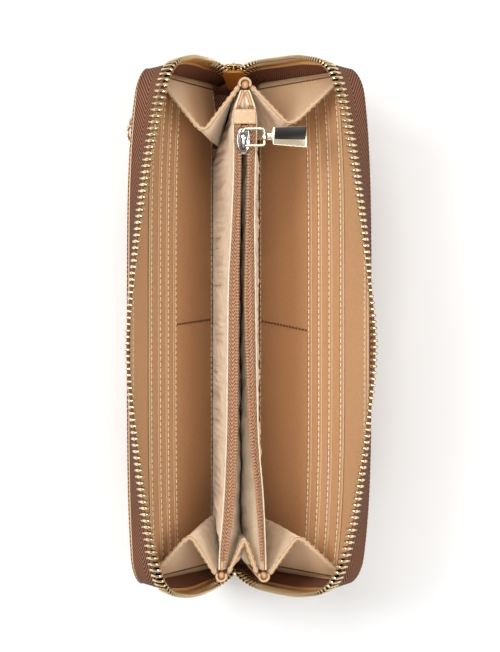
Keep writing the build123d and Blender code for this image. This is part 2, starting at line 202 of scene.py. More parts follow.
# Satin: its colour follows the wrinkle noise, lighter on the ridges and darker in the hollows, which is
# painted sheen and painted shade; the light tone is raised near white to stand in for light on the shaded
# pouch walls.
satin = mottled(
    "satin", (0.55, 0.39, 0.22), 0.36, (260, 1.0, 0.0012, 3.0, (1.0, 1.0, 0.25)),
    (0.66, 0.48, 0.31), (1.0, 0.90, 0.72), metal=0.05, sheen=1.0
)
fill_in(shader(satin), {"Sheen Tint": (1.0, 0.84, 0.66, 1), "Specular Tint": (1.0, 0.82, 0.60, 1)})
zip_cloth = herringbone(
    "zip_cloth", (0.22, 0.11, 0.08), 0.75, (0.035, 0.012, 0.006), (0.36, 0.160, 0.095), 1.8, TAPE_W
)
coin_cloth = herringbone(
    "coin_cloth", (0.60, 0.31, 0.16), 0.65, (0.15, 0.060, 0.030), (0.66, 0.37, 0.22), 1.6, 3.0
)
coil_nylon = principled("coil_nylon", (0.62, 0.34, 0.19), 0.35)
thread = principled("thread", (0.86, 0.68, 0.46), 0.5)
seam_thread = principled("seam_thread", (0.36, 0.19, 0.10), 0.6)
# Dark thread for the dark seams; also the colour of a painted shade line along each pocket's fold.
dark_thread_and_shade = principled("dark_thread_and_shade", (0.13, 0.05, 0.02), 0.6)
gold = mottled(
    "gold", (0.86, 0.60, 0.27), 0.2, (700, 0.06), (0.74, 0.53, 0.28), (0.93, 0.75, 0.48), metal=1.0
)
bright_gold = fine("bright_gold", (0.86, 0.74, 0.52), 0.18, 500, 0.03, metal=1.0)
amber = mottled(
    "amber", (0.50, 0.17, 0.02), 0.25, (300, 0.1), (0.48, 0.15, 0.015), (0.86, 0.38, 0.06),
    metal=0.6, coat=0.8
)
chrome = fine("chrome", (0.52, 0.50, 0.49), 0.1, 400, 0.03, metal=1.0)
# Black gloss: a painted reflection, the dark surroundings mirrored in the coin pull's gold.
painted_reflection_black = fine("painted_reflection_black", (0.012, 0.009, 0.007), 0.25, 600, 0.03)
fill_in(shader(painted_reflection_black), {"Specular IOR Level": 0.2})

# ---- meshes


def in_scene(name, data):
    ob = bpy.data.objects.new(name, data)
    bpy.context.scene.collection.objects.link(ob)
    return ob


def smooth(me):
    me.polygons.foreach_set("use_smooth", [True] * len(me.polygons))


def array_of(points):
    return np.array([tuple(q) for q in points], float)


def run_of(p):
    """Length along a path at each of its points."""
    return np.concatenate([[0], np.cumsum(np.linalg.norm(np.diff(p, axis=0), axis=1))])


def add(name, verts, faces, material, uv=None):
    me = bpy.data.meshes.new(name)
    me.from_pydata([tuple(Vector(v) * MM) for v in verts], [], faces)
    if uv is not None:
        layer = me.uv_layers.new(name="UVMap")
        for loop in me.loops:
            layer.data[loop.index].uv = uv[loop.vertex_index]
    me.materials.append(material)
    smooth(me)
    me.update()
    return in_scene(name, me)


def grid_normals(grid):
    g = np.array([[tuple(p) for p in row] for row in grid], float)
    du = np.gradient(g, axis=1)
    dv = np.gradient(g, axis=0)
    n = np.cross(du, dv)
    return g, n / np.maximum(np.linalg.norm(n, axis=2, keepdims=True), 1e-9)


def thick(name, grid, t, material, uv=False):
    """A closed sheet t thick from a grid of places; t may be negative."""
    g, n = grid_normals(grid)
    rows, cols = g.shape[:2]
    other = g + n * t
    if t < 0:
        g, other = other, g
    verts = list(g.reshape(-1, 3)) + list(other.reshape(-1, 3))
    off = rows * cols
    faces = []
    for i in range(rows - 1):
        for j in range(cols - 1):
            a, b = i * cols + j, i * cols + j + 1
            c, d = a + cols + 1, a + cols
            faces.append((a, d, c, b))
            faces.append((a + off, b + off, c + off, d + off))
    ring = (
        [(0, j) for j in range(cols)] + [(i, cols - 1) for i in range(1, rows)] + [
            (rows - 1, j) for j in range(cols - 2, -1, -1)
        ] + [(i, 0) for i in range(rows - 2, 0, -1)]
    )
    ids = [i * cols + j for i, j in ring]
    for k, a in enumerate(ids):
        b = ids[(k + 1) % len(ids)]
        faces.append((a, b, b + off, a + off))
    spots = None
    if uv:
        along = np.zeros(rows)
        mid = cols // 2
        along[1:] = np.cumsum(np.linalg.norm(np.diff(g[:, mid], axis=0), axis=1))
        across = np.zeros((rows, cols))
        across[:, 1:] = np.cumsum(np.linalg.norm(np.diff(g, axis=1), axis=2), axis=1)
        flat = [(across[i, j], along[i]) for i in range(rows) for j in range(cols)]
        spots = flat + flat
    return add(name, verts, faces, material, uv=spots)


def frames_along(path, up):
    """Unit directions along a path and square to it, near a wanted way up."""
    p = array_of(path)
    t = np.gradient(p, axis=0)
    t /= np.maximum(np.linalg.norm(t, axis=1, keepdims=True), 1e-9)
    u = array_of(up) if np.ndim(up) == 2 else np.tile(up, (len(p), 1))
    u = u - (u * t).sum(1, keepdims=True) * t
    u /= np.maximum(np.linalg.norm(u, axis=1, keepdims=True), 1e-9)
    return p, t, u, np.cross(t, u)


def tube(name, path, up, a, b, material, sides=10, closed=False):
    """A bead with an oval section, a along the way up and b across."""
    p, t, u, s = frames_along(path, up)
    if closed:
        t = np.roll(p, -1, 0) - np.roll(p, 1, 0)
        t /= np.linalg.norm(t, axis=1, keepdims=True)
        u = u - (u * t).sum(1, keepdims=True) * t
        u /= np.linalg.norm(u, axis=1, keepdims=True)
        s = np.cross(t, u)
    verts, faces = [], []
    for i in range(len(p)):
        for k in range(sides):
            g = 2 * math.pi * k / sides
            verts.append(p[i] + u[i] * a * math.cos(g) + s[i] * b * math.sin(g))
    n = len(p)
    for i in range(n if closed else n - 1):
        for k in range(sides):
            q = (k + 1) % sides
            j = (i + 1) % n
            faces.append((i * sides + k, j * sides + k, j * sides + q, i * sides + q))
    if not closed:
        faces.append(tuple(range(sides)))
        faces.append(tuple((n - 1) * sides + k for k in range(sides - 1, -1, -1)))
    return add(name, verts, [f[::-1] for f in faces], material)


def smooth_line(points, count):
    """A curve through the points, evenly spaced along its length."""
    p = array_of(points)
    p = np.vstack([2 * p[0] - p[1], p, 2 * p[-1] - p[-2]])
    out = []
    for i in range(1, len(p) - 2):
        for s in np.linspace(0, 1, 24, endpoint=False):
            a, b, c, d = p[i - 1], p[i], p[i + 1], p[i + 2]
            out.append(
                0.5 * (
                    2 * b + (c - a) * s + (
                        2 * a - 5 * b + 4 * c - d
                    ) * s * s + (3 * b - a - 3 * c + d) * s**3
                )
            )
    out.append(p[-2])
    return even(out, count)


def even(points, count):
    p = array_of(points)
    run = run_of(p)
    at = np.linspace(0, run[-1], count)
    return np.stack([np.interp(at, run, p[:, k]) for k in range(p.shape[1])], 1)


def length_of(points):
    return float(np.linalg.norm(np.diff(array_of(points), axis=0), axis=1).sum())


# ---- repeats


def repeat_tree():
    """Puts one small piece on every point, turned by the point's own angles."""
    g = bpy.data.node_groups.new("repeat_on_points", "GeometryNodeTree")
    for name, kind in (("Geometry", "Geometry"), ("Piece", "Object"), ("Material", "Material")):
        g.interface.new_socket(name, in_out="INPUT", socket_type="NodeSocket" + kind)
    g.interface.new_socket("Geometry", in_out="OUTPUT", socket_type="NodeSocketGeometry")
    n = g.nodes
    start, end = n.new("NodeGroupInput"), n.new("NodeGroupOutput")
    info = n.new("GeometryNodeObjectInfo")
    turn, size = (n.new("GeometryNodeInputNamedAttribute") for _ in range(2))
    for read, name in ((turn, "turn"), (size, "size")):
        read.data_type = "FLOAT_VECTOR"
        read.inputs["Name"].default_value = name
    put = n.new("GeometryNodeInstanceOnPoints")
    real = n.new("GeometryNodeRealizeInstances")
    paint = n.new("GeometryNodeSetMaterial")
    euler = n.new("FunctionNodeEulerToRotation")
    for a, out, b, into in (
        (start, "Geometry", put, "Points"),
        (start, "Piece", info, "Object"),
        (info, "Geometry", put, "Instance"),
        (turn, "Attribute", euler, "Euler"),
        (euler, "Rotation", put, "Rotation"),
        (size, "Attribute", put, "Scale"),
        (put, "Instances", real, "Geometry"),
        (real, "Geometry", paint, "Geometry"),
        (start, "Material", paint, "Material"),
        (paint, "Geometry", end, "Geometry"),
    ):
        g.links.new(a.outputs[out], b.inputs[into])
    return g


REPEAT = repeat_tree()


def repeated(name, spots, piece, material):
    """spots: (place, x way, z way, scale) in mm. Returns one plain mesh."""
    me = bpy.data.meshes.new(name + "_spots")
    me.from_pydata([tuple(Vector(s[0]) * MM) for s in spots], [], [])
    turns, sizes = [], []
    for _, x, z, scale in spots:
        z = Vector(z).normalized()
        x = Vector(x)
        x = (x - z * x.dot(z)).normalized()
        m = Matrix((x, z.cross(x), z)).transposed()
        turns += list(m.to_euler("XYZ"))
        sizes += list(scale) if hasattr(scale, "__len__") else [scale] * 3
    for kind, values in (("turn", turns), ("size", sizes)):
        me.attributes.new(kind, "FLOAT_VECTOR", "POINT").data.foreach_set("vector", values)
    ob = in_scene(name + "_spots", me)
    mod = ob.modifiers.new("repeat", "NODES")
    mod.node_group = REPEAT
    ids = {s.name: s.identifier for s in REPEAT.interface.items_tree if s.in_out == "INPUT"}
    mod[ids["Piece"]] = piece
    mod[ids["Material"]] = material
    bpy.context.view_layer.update()
    graph = bpy.context.evaluated_depsgraph_get()
    done = bpy.data.meshes.new_from_object(ob.evaluated_get(graph))
    done.name = name
    ob.modifiers.clear()
    bpy.data.objects.remove(ob)
    smooth(done)
    for extra in [x.name for x in done.attributes if x.name in ("turn", "size")]:
        done.attributes.remove(done.attributes[extra])
    return in_scene(name, done)


def hidden(ob):
    """A pattern piece: kept out of the picture, removed at the end."""
    ob.hide_render = True
    PATTERNS.append(ob)
    return ob


PATTERNS = []


def stitch_piece():
    """One stitch, 1 mm long, lying along X."""
    path = [(-0.5, 0, -0.12), (-0.35, 0, 0.05), (0, 0, 0.1), (0.35, 0, 0.05), (0.5, 0, -0.12)]
    return hidden(tube("stitch", path, (0, 0, 1), 0.17, 0.2, thread, 6))


STITCH = stitch_piece()


def stitches(name, path, up, pitch, material=None, fill=0.72, fat=1.0):
    count = max(int(length_of(path) / pitch), 1)
    p, t, u, _ = frames_along(even(path, 2 * count + 1), up)
    spots = [(p[i], t[i], u[i], (pitch * fill, fat, fat)) for i in range(1, 2 * count, 2)]
    return repeated(name, spots, STITCH, material or thread)


def joined(name, parts, body=None, replaces=()):
    """One piece from several, with every material kept."""
    parts = [p for p in parts if p]
    bpy.ops.object.select_all(action="DESELECT")
    for p in parts:
        p.select_set(True)
    bpy.context.view_layer.objects.active = parts[0]
    if len(parts) > 1:
        bpy.ops.object.join()
    ob = bpy.context.view_layer.objects.active
    ob.name = name
    ob.data.name = name
    if body:
        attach(ob, body)
    if replaces:
        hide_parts(*replaces)
    return ob


# ---- covers


def half_at(v):
    """Half length of a cover at height v, with its top corners rounded."""
    if v <= TOP - CORNER:
        return HALF
    d = v - (TOP - CORNER)
    return HALF - CORNER + math.sqrt(max(CORNER**2 - d * d, 0))


def levels(low, high, step=2.0):
    """Heights up a cover, closer together round its corners."""
    out = list(np.arange(low, TOP - CORNER, step))
    out += [TOP - CORNER + CORNER * math.sin(math.radians(a)) for a in range(0, 88, 8)]
    out.append(TOP - 0.02)
    return [v for v in out if v <= high]


def cover_sheet(name, side, w, t, material, inset, low=1.7, high=TOP, half=None, wave=0.0):
    """One flat layer of a cover: w is its outer face, t its thickness inwards."""
    rows = levels(low, high - inset)
    if rows[-1] < high - inset - 0.05:
        rows.append(high - inset)
    cols = np.linspace(-1, 1, 49)
    grid = []
    for v in rows:
        reach = (half if half else half_at(v + inset) - inset)
        row = []
        for c in cols:
            y = c * max(reach, 2)
            lift = wave * math.sin(y * 0.09 + v * 0.05) * math.sin(v * 0.11)
            row.append(on_cover(side, y, v, w + lift))
        grid.append(row)
    return thick(name, grid, -side * t, material)


def top_edge(side, v, half, w, count=121):
    return [on_cover(side, y, v, w) for y in np.linspace(-half, half, count)]


def cover_normal(side):
    return (-side * math.cos(OPEN[side]), 0, math.sin(OPEN[side]))


def cover_up(side):
    return (side * math.sin(OPEN[side]), 0, math.cos(OPEN[side]))


def rim(inset=0.0, foot=ZIP_FOOT):
    """(y, v, outward y, outward v) along the short edge, the corner, the top and back."""
    one = []
    for v in np.arange(foot, TOP - CORNER, 1.0):
        one.append((HALF - inset, v, 1, 0))
    r = CORNER - inset
    for a in range(0, 91, 5):
        g = math.radians(a)
        one.append(
            (
                HALF - CORNER + r * math.cos(g), TOP - CORNER + r * math.sin(g), math.cos(g),
                math.sin(g)
            )
        )
    for y in np.arange(HALF - CORNER - 1, 0, -1.0):
        one.append((y, TOP - inset, 0, 1))
    return one + [(0, TOP - inset, 0, 1)] + [(-y, v, -ny, nv) for y, v, ny, nv in one[::-1]]


LAYERS = (
    ("slip_pocket", SLIP_TOP, 2.35, 0.30, 95.5, 2.6),
    ("card_pocket_3", CARD_TOPS[0], 2.70, 0.22, 90.5, 8.0),
    ("card_pocket_2", CARD_TOPS[1], 2.96, 0.22, 90.5, 6.0),
    ("card_pocket_1", CARD_TOPS[2], 3.22, 0.22, 90.5, 4.0)
)


def build_covers(side):
    word = WORD[side]
    body = word + "_cover"
    nrm, up = cover_normal(side), cover_up(side)
    # outer leather, with its turned edge and edge stitching
    parts = [cover_sheet("skin", side, 0.0, 0.9, grain_leather, 0.45)]
    edge = [on_cover(side, y, v, 1.0) for y, v, _, _ in rim(0.5, 2.0)]
    parts.append(tube("edge", edge, nrm, 1.05, 0.75, edge_leather, 10))
    ridge, outs = [], []
    for y, v, ny, nv in rim(-0.2, 4.0):
        ridge.append(on_cover(side, y, v, 0.55))
        outs.append(tuple(on_cover(side, y + ny, v + nv, 0.2) - on_cover(side, y, v, 0.2)))
    parts.append(
        edge_stitches("ridge_seam", even(ridge, 600), even(outs, 600), 1.7, dark_thread_and_shade, 1.1)
    )
    for tag, w, inset, out in (("out", -0.03, 1.9, tuple(-c for c in nrm)), ("in", 2.02, 2.2, nrm)):
        line = [on_cover(side, y, v, w) for y, v, _, _ in rim(inset, 4.0)]
        parts.append(stitches("seam_" + tag, line, out, 2.2))
    joined("cover_leather_" + word, parts, body, ["outer_" + word])
    # stiff board and lining
    board = cover_sheet("cover_board_" + word, side, 0.95, 0.6, grain_leather, 4.0)
    joined("cover_board_" + word, [board], body, ["board_" + word])
    lining = cover_sheet("lining_skin", side, 1.65, 0.45, smooth_leather, 1.2)
    joined("cover_lining_" + word, [lining], body, ["lining_" + word])
    for name, top, w, t, half, foot in LAYERS:
        panel = cover_sheet("panel", side, w, t, smooth_leather, 0.0, foot, top - 0.7, half)
        parts = [panel]
        fat = 0.62 if name == "slip_pocket" else 0.5
        bead = top_edge(side, top - 0.85, half, w + t / 2 + 0.06)
        parts.append(tube("bead", bead, up, 1.05, fat * 0.62, edge_leather, 12))
        line = top_edge(side, top - 2.5, half - 1, w + t + 0.02)
        parts.append(stitches("edge_seam", line, nrm, POCKET_PITCH, thread, 0.74, 1.25))
        # A thin dark line below the stitching: painted shade along the pocket's fold.
        crease = top_edge(side, top - 3.4, half - 0.5, w + t - 0.02)
        parts.append(tube("crease", crease, nrm, 0.07, 0.16, dark_thread_and_shade, 6))
        if name == "card_pocket_1":
            parts += middle_seam(side, w + t + 0.04, top - 3.6)
        joined("sewn_" + name + "_" + word, parts, body, [name + "_" + word])


def middle_seam(side, w, high):
    """The dark seam that parts two rows of card pockets, and the seam along their foot."""
    start, end = (0.6, 2.6) if side < 0 else (-1.8, 2.0)
    line = [
        on_cover(side, start + (end - start) * s, high + (6.5 - high) * s, w)
        for s in np.linspace(0, 1, 30)
    ]
    nrm = cover_normal(side)
    foot = [on_cover(side, y, 5.6, w) for y in np.linspace(-90, 90, 91)]
    return [
        stitches("middle_seam", line, nrm, 2.7, dark_thread_and_shade, 0.55, 2.0),
        stitches("foot_seam", foot, nrm, POCKET_PITCH)
    ]


# ---- main zip


def lean(y, v):
    base = 15 + 60 * min(abs(y + 8) / 95, 1) ** 1.25
    if v < TOP - CORNER:
        base = base + (57 - base) * min((TOP - CORNER - v) / 26, 1)
    return math.radians(base)


def inward(side, y, v, ny, nv):
    """Unit way across the tape, from the cover's edge towards the teeth."""
    g = lean(y, v)
    fold = on_cover(side, y, v, 1.3)
    out = on_cover(side, y + ny, v + nv, 1.3) - fold
    over = Vector(cover_normal(side))
    return (out.normalized() * math.cos(g) + over * math.sin(g)).normalized()


def blend_line(a, b, c, t):
    return a * (1 - t) ** 2 + b * 2 * t * (1 - t) + c * t * t


def edge_spot(side, y, v, ny, nv):
    f = on_cover(side, y, v, 1.3)
    return f + (on_cover(side, y + ny, v + nv, 1.3) - f) * 0.3


def lead(side, sign, tip_start, tip_way):
    """The tape's end: its fold goes down the cover to the spine, its teeth to the slider."""
    fold = [edge_spot(side, sign * HALF, v, sign, 0) for v in np.arange(ZIP_FOOT - 1, 2, -1.0)]
    corner = fold[-1]
    fold += [
        corner.lerp(Vector((side * 1.2, sign * 98.7, 1.6)), s) for s in np.linspace(0.1, 1, 10)
    ]
    if sign > 0:
        stops = [
            (side * 9.5 - 0.4, 105.4, 23.5), (side * 3.4 - 0.5, 104.1, 17.6),
            (side * 1.9 - 0.5, 101.6, 11.5), (side * 1.9 - 0.5, 99.9, 7.5)
        ]
    else:
        stops = [
            (side * 9.5, -104.4, 24), (side * 2.6, -101.8, 15.0), (side * 0.9, -99.6, 9.5),
            (side * 0.8, -98.4, 5.0)
        ]
    tips = smooth_line([tip_start - tip_way * 2, tip_start] + [Vector(p) for p in stops], 60)
    keep = [Vector(p) for p in tips if p[2] < tip_start[2] - 0.6]
    return fold, even(keep, len(fold))


def zip_run(side):
    """Fold line and tooth line of one tape, from the slider's end to the far end."""
    fold, tip = [], []
    for y, v, ny, nv in rim():
        f = edge_spot(side, y, v, ny, nv)
        fold.append(f)
        tip.append(f + inward(side, y, v, ny, nv) * TAPE_W)
    a, b = lead(side, 1, tip[0], (tip[0] - tip[1]).normalized())
    c, d = lead(side, -1, tip[-1], (tip[-1] - tip[-2]).normalized())
    fold = a[::-1] + fold + c
    tip = [Vector(p) for p in b][::-1] + tip + [Vector(p) for p in d]
    return fold, tip


def build_zip(side):
    word = WORD[side]
    fold, tip = zip_run(side)
    count = 330
    # keep fold and tip paired while spacing them evenly
    pair = np.array([[*f, *t] for f, t in zip(fold, tip)])
    mid = (pair[:, :3] + pair[:, 3:]) / 2
    run = run_of(mid)
    at = np.linspace(0, run[-1], count)
    pair = np.stack([np.interp(at, run, pair[:, k]) for k in range(6)], 1)
    for _ in range(3):
        pair[4:-4, 3:] = sum(pair[4 + d : count - 4 + d, 3:] for d in range(-4, 5)) / 9
    fold, tip = pair[:, :3], pair[:, 3:]
    grid = []
    for k in range(count):
        f, t = Vector(fold[k]), Vector(tip[k])
        way = (t - f).normalized()
        grid.append([t - way * x for x in np.linspace(0, (t - f).length + 0.5, 14)])
    tape = thick("tape_" + word, grid, -0.42, zip_cloth, uv=True)
    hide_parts("zip_tape_" + word)
    # the rolled cord at the tape's edge and the metal teeth clamped on it
    teeth, spots = [], []
    p, t, u, _ = frames_along(tip, tip - fold)
    run = run_of(p)
    places = np.arange(2.0 + (0.6 if side > 0 else 0), run[-1] - 7.0, TOOTH_PITCH)
    for d in places:
        i = min(int(np.searchsorted(run, d)), len(p) - 1)
        q = np.array([np.interp(d, run, p[:, k]) for k in range(3)])
        spots.append((q - u[i] * 0.1, u[i], t[i], (1.0, 1.0, 0.86)))
    teeth.append(repeated("teeth", spots, TOOTH, gold))
    teeth.append(tube("cord_" + word, tip - u * 0.35, u[5], 0.6, 0.6, zip_cloth, 8))
    row = joined("zip_teeth_sewn_" + word, teeth, None, ["zip_teeth_" + word])
    return tape, row


def tooth_piece():
    """A cast tooth, swollen in the middle: x outwards from the tape, z along the chain."""
    outline = [(-1.7, 1.1), (0.8, 1.2), (2.2, 1.15), (2.8, 0.95), (3.0, 0.6)]
    ring = outline + [(x, -y) for x, y in outline[::-1]]
    verts, faces = [], []
    for z, k in ((-0.62, 0.74), (-0.5, 0.92), (-0.15, 1.0), (0.15, 1.0), (0.5, 0.92), (0.62, 0.74)):
        verts += [(0.8 + (x - 0.8) * (0.4 + 0.6 * k), y * k, z) for x, y in ring]
    n = len(ring)
    for r in range(5):
        for k in range(n):
            q = (k + 1) % n
            faces.append((r * n + k, r * n + q, (r + 1) * n + q, (r + 1) * n + k))
    faces.append(tuple(range(n)))
    faces.append(tuple(5 * n + k for k in range(n - 1, -1, -1)))
    return hidden(add("tooth", verts, [f[::-1] for f in faces], gold))


TOOTH = tooth_piece()


# ---- spine


def flat_panel(name, x0, x1, y, z, t, material):
    rows = np.linspace(-y, y, 60)
    grid = [
        [(x, q, z + 0.10 * math.sin(q * 0.31) * math.cos(x)) for x in np.linspace(x0, x1, 9)]
        for q in rows
    ]
    return thick(name, grid, t, material)


def build_spine():
    outer = flat_panel("spine_leather", -10.2, 10.2, 99.9, 0.02, 0.85, grain_leather)
    ends = []
    for sign in (-1, 1):
        path = [(x, sign * 99.7, 0.6) for x in np.linspace(-10, 10, 21)]
        ends.append(tube("spine_edge", path, (0, 0, 1), 0.55, 0.5, edge_leather, 8))
    joined("spine_leather", [outer] + ends, "spine", ["spine_cover"])
    inner = flat_panel("spine_inner", -9.6, 9.6, 97.6, 1.9, 0.5, smooth_leather)
    joined("spine_inner", [inner], "spine", ["spine_lining"])
    for side in (-1, 1):
        word = WORD[side]
        bend = []
        for a in np.linspace(0, 1, 10):
            start, knee = Vector((side * 9.9, 0, 0.45)), Vector((side * 11.9, 0, 0.5))
            bend.append(blend_line(start, knee, on_cover(side, 0, 3.0, 0.4), a))
        grid = [[(p.x, y * (99.8 / 98), p.z) for p in bend] for y in np.linspace(-98, 98, 60)]
        strip = thick("hinge_skin", grid, side * 0.5, grain_leather)
        strip.name = "hinge_leather_" + word
        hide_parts("hinge_" + word)
        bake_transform(strip, "spine", word + "_cover", (side * 0.010, 0, 0), (side * 0.0124, 0, 0))


# ---- coin pouch

LEFT_TOP = (
    (2.9, 90), (0.3, 80), (0.3, 61), (-0.5, 40), (-1.6, 18), (-1.9, 2), (-2.4, -40), (-3.5, -67),
    (-5, -86), (-5.3, -93.6)
)
RIGHT_TOP = (
    (5.7, 90), (8.3, 80), (7.9, 61), (7.6, 40), (7.9, 18), (8.1, 2), (9, -40), (11, -67),
    (11.8, -86), (12, -93.6)
)
LEFT_IN = (
    (3.0, 84.5), (2.8, 80), (2.75, 61), (2.3, 40), (1.9, 18), (1.8, 2), (1.3, -40), (0.3, -67),
    (-2.2, -86), (-2.6, -90)
)
RIGHT_IN = (
    (5.2, 84.5), (5.2, 80), (5.2, 61), (4.7, 40), (4.2, 18), (4.2, 2), (6, -40), (8.6, -67),
    (10, -86), (10.2, -90)
)


def plan_curve(points, count):
    """A smooth line in plan, at even stations along Y from the first point to the last."""
    xy = smooth_line([(x, y, 0) for x, y in points], 400)
    ys = np.linspace(points[0][1], points[-1][1], count)
    xs = np.interp(-ys, -xy[:, 1], xy[:, 0])
    return [(x, y) for x, y in zip(xs, ys)]


def wall(side):
    """The satin-covered wall of the coin pouch."""
    word = WORD[side]
    line = plan_curve(LEFT_TOP if side < 0 else RIGHT_TOP, 330)
    foot = -8.7 if side < 0 else 9.2
    rows = []
    for t in np.linspace(0, 1, 44):
        z = 3.2 + (84.6 - 3.2) * t
        row = []
        for x, y in line:
            part = np.interp(y, [-94, -86, -78, 66, 75, 85, 92], [0.42, 0.7, 1, 1, 0.75, 0.35, 0.2])
            base = 1.3 + (foot - 1.3) * part
            belly = 4 * t * (1 - t)
            soft = belly * (0.5 * math.sin(y * 0.23 + 5 * t) + 0.45 * math.sin(y * 0.61 - 4 * t))
            soft += belly * 0.42 * math.sin(1.7 * y + 2.5 * math.sin(0.3 * y) + 3 * t)
            soft += belly * 0.2 * math.sin(z * 0.35 + 0.35 * y)
            crease = max(math.sin(0.9 * y + 1.9 * math.sin(0.37 * y)), 0) ** 6
            soft += 0.9 * crease * math.exp(-(((t - 0.3) / 0.22) ** 2))
            row.append((base + (x - base) * t - side * soft * 0.6, y, z))
        rows.append(row)
    ob = thick("pouch_wall_sewn_" + word, rows, -side * 0.6, satin)
    return ob, line


def build_pouch():
    for side in (-1, 1):
        word = WORD[side]
        ob, line = wall(side)
        nap = [(x - side * 0.1, y, 82.3) for x, y in line]
        seam = stitches("wall_seam", nap, (side, 0, 0), SEAM_PITCH)
        piece = joined("coin_wall_" + word, [ob, seam], None, ["pouch_wall_" + word])
        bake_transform(piece, "spine", word + "_cover", (0, 0, 0.030), (0, 0, 0.004))
    # bound top edges and the flat zip tapes between them
    pieces, bead_parts = [], []
    for side, top, inner in ((-1, LEFT_TOP, LEFT_IN), (1, RIGHT_TOP, RIGHT_IN)):
        line = plan_curve(top, 150)
        path = [(x - side * 0.75, y, 85.05) for x, y in line]
        bead_parts.append(tube("bead", path, (0, 0, 1), 0.95, 0.55, smooth_leather, 12))
        inn = plan_curve(inner, 150)
        outx = np.interp([-y for _, y in inn], [-y for _, y in line], [x for x, _ in line])
        grid = []
        for (x, y), ox in zip(inn, outx):
            a, b = (ox + 0.15, x) if side < 0 else (x, ox - 0.35)
            grid.append(
                [
                    (a + (b - a) * s, y, 86.15 + 0.12 * math.sin(math.pi * s))
                    for s in np.linspace(0, 1, 8)
                ]
            )
        pieces.append(thick("tape", grid, 0.38, coin_cloth, uv=True))
        seam = [(ox - side * 0.95, y, 86.54) for (x, y), ox in zip(inn, outx)]
        pieces.append(stitches("tape_seam", seam, (0, 0, 1), 1.5, seam_thread, 0.7, 0.85))
    joined("coin_pouch_binding", bead_parts, "spine", ["pouch_piping"])
    joined("coin_zip_cloth", pieces, "spine", ["coin_zip_tape"])
    # nylon coil along both inner edges, closed above the slider
    parts = []
    for side, inner in ((-1, LEFT_IN), (1, RIGHT_IN)):
        line = [(x, y) for x, y in plan_curve(inner, 400) if y < 66]
        path = even([(x + side * 0.5, y, 86.95) for x, y in line], 400)
        parts.append(coil("coil_" + WORD[side], path, 1.15))
        parts.append(tube("coil_cord", path, (0, 0, 1), 0.22, 0.3, coin_cloth, 6))
    mid = [(4.0 + 0.02 * (y - 71), y, 86.95) for y in np.linspace(76.5, 66, 40)]
    parts.append(coil("coil_closed", mid, 0.75, 1.5))
    joined("coin_zip_coil_piece", parts, "spine", ["coin_zip_coil"])
    tab()


def coil(name, path, pitch, wide=1.0):
    count = int(length_of(path) / pitch)
    p, _, u, s = frames_along(even(path, count), (0, 0, 1))
    spots = [(p[i], s[i], u[i], (wide, 1, 1)) for i in range(count)]
    return repeated(name, spots, TURN, coil_nylon)


def turn_piece():
    """One turn of nylon coil, across the zip."""
    path = [
        (0.75 * math.cos(a), 0.18 * math.sin(a), 0.42 * math.sin(a))
        for a in np.linspace(0, 2 * math.pi, 11)[:-1]
    ]
    return hidden(tube("turn", path, (0, 1, 0), 0.17, 0.17, coil_nylon, 5, closed=True))


TURN = turn_piece()


def soft_box(name, size, place, material, round_by=0.5):
    """A block with rounded edges."""
    bpy.ops.mesh.primitive_cube_add(size=1)
    ob = bpy.context.object
    ob.name = name
    me = ob.data
    x, y, z = size
    for v in me.vertices:
        v.co = Vector((v.co.x * x, v.co.y * y, v.co.z * z)) * MM
    mod = ob.modifiers.new("round", "BEVEL")
    mod.width = round_by * MM
    mod.segments = 4
    mod.limit_method = "NONE"
    settle(ob)
    ob.data.transform(Matrix.Translation(Vector(place) * MM))
    return finish_metal(ob, material)


def settle(ob):
    """Applies every modifier."""
    graph = bpy.context.evaluated_depsgraph_get()
    me = bpy.data.meshes.new_from_object(ob.evaluated_get(graph))
    ob.modifiers.clear()
    ob.data = me


def finish_metal(ob, material):
    """Smooth faces, sharp only where they meet at a real corner."""
    ob.data.materials.clear()
    ob.data.materials.append(material)
    smooth(ob.data)
    ob.data.set_sharp_from_angle(angle=math.radians(35))
    return ob


def plate(name, outline, t, material, round_by=0.2):
    """A flat metal shape from an outline in x and y, t thick, with rounded edges."""
    ring = list(zip(outline, outline[1:] + outline[:1]))
    if sum(a[0] * b[1] - b[0] * a[1] for a, b in ring) < 0:
        outline = outline[::-1]
    n = len(outline)
    verts = [(x, y, -t / 2) for x, y in outline] + [(x, y, t / 2) for x, y in outline]
    faces = [(k, (k + 1) % n, n + (k + 1) % n, n + k) for k in range(n)]
    faces += [tuple(range(n - 1, -1, -1)), tuple(range(n, 2 * n))]
    ob = add(name, verts, faces, material)
    mod = ob.modifiers.new("round", "BEVEL")
    mod.width = round_by * MM
    mod.segments = 3
    mod.limit_method = "ANGLE"
    mod.angle_limit = math.radians(60)
    settle(ob)
    return finish_metal(ob, material)


def tab():
    """Leather tab that covers the coin zip's end."""
    base = soft_box("tab", (8.6, 5.7, 1.0), (4.2, 80.2, 87.15), edge_leather, 0.42)
    parts = [base]
    for y in (78.2, 82.1):
        parts.append(
            stitches(
                "tab_seam", [(0.6, y, 87.68), (7.8, y, 87.68)], (0, 0, 1), 1.9, thread, 0.7, 1.2
            )
        )
    joined("coin_end_tab_piece", parts, "spine", ["coin_end_tab"])


